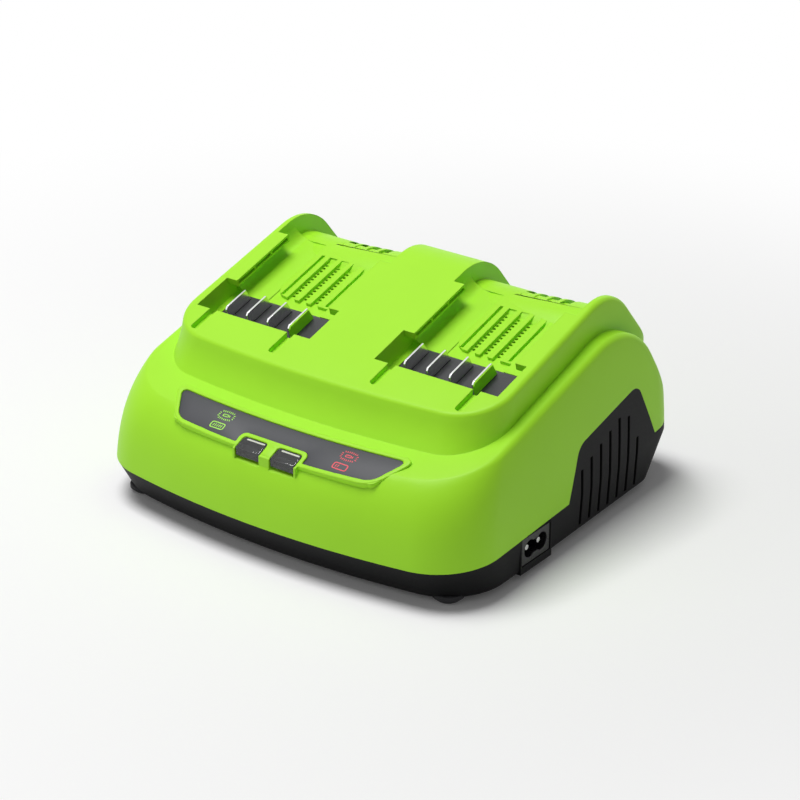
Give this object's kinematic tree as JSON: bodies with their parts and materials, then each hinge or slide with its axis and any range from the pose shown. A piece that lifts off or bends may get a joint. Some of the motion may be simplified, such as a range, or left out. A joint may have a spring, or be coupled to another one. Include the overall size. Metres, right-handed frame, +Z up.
{
  "type": "two-bay power tool battery charger",
  "caption": "Two-bay battery charger: sloping deck with slide-on bays and contact blades, label panel with two lenses, vented base with mains inlet and rubber feet.",
  "frame": {"origin": "centre of the bounding box in plan, on the surface that the feet stand on", "axes": "+X to the side that carries the mains inlet, -Y to the front with the lenses, +Z up"},
  "size_m": [0.199, 0.184, 0.0967],
  "materials": {
    "cover_green": "fine satin texture",
    "base_black": "fine matt texture",
    "panel_grey": "matt",
    "lens_green": "polished",
    "lens_red": "polished",
    "block_grey": "satin",
    "contact_metal": "bright tin plate",
    "inlet_black": "satin",
    "board_laminate": "glossy lacquer",
    "light_resin": "clear resin",
    "ferrite": "matt ceramic",
    "copper_winding": "lacquered copper wire",
    "can_aluminium": "satin",
    "film_yellow": "satin",
    "fuse_ceramic": "glazed",
    "sink_aluminium": "satin",
    "chip_resin": "matt",
    "fan_plastic": "satin",
    "foot_rubber": "matt",
    "screw_steel": "zinc plate",
    "lead_brown": "satin sheath",
    "lead_black": "satin sheath"
  },
  "bodies": {
    "charger": {"top_cover": "cover_green", "base_housing": "base_black", "front_panel": "panel_grey", "lens_left": "lens_green", "lens_right": "lens_red", "terminal_block_left": "block_grey", "terminal_block_right": "block_grey", "terminal_blades_left": "contact_metal", "terminal_blades_right": "contact_metal", "ac_inlet": "inlet_black", "inlet_pins": "contact_metal", "light_board": "board_laminate", "indicator_lights": "light_resin", "main_board": "board_laminate", "transformer_core": "ferrite", "transformer_winding": "copper_winding", "bulk_capacitors": "can_aluminium", "output_capacitors": "can_aluminium", "line_choke": "copper_winding", "film_capacitor": "film_yellow", "fuse": "fuse_ceramic", "fuse_clips": "contact_metal", "primary_heatsink": "sink_aluminium", "secondary_heatsink": "sink_aluminium", "power_transistors": "chip_resin", "fan_frame": "fan_plastic", "fan_stator": "copper_winding", "rubber_feet": "foot_rubber", "housing_screws": "screw_steel", "board_screws": "screw_steel", "inlet_leads": "lead_brown", "output_leads_left": "lead_black", "output_leads_right": "lead_black"},
    "fan": {"fan_rotor": "fan_plastic"}
  },
  "joints": [
    {"name": "fan_spin", "type": "hinge", "parent": "charger", "child": "fan", "pos_m": [0.081, 0.03305, 0.03], "axis": [1, 0, 0], "continuous": true}
  ]
}
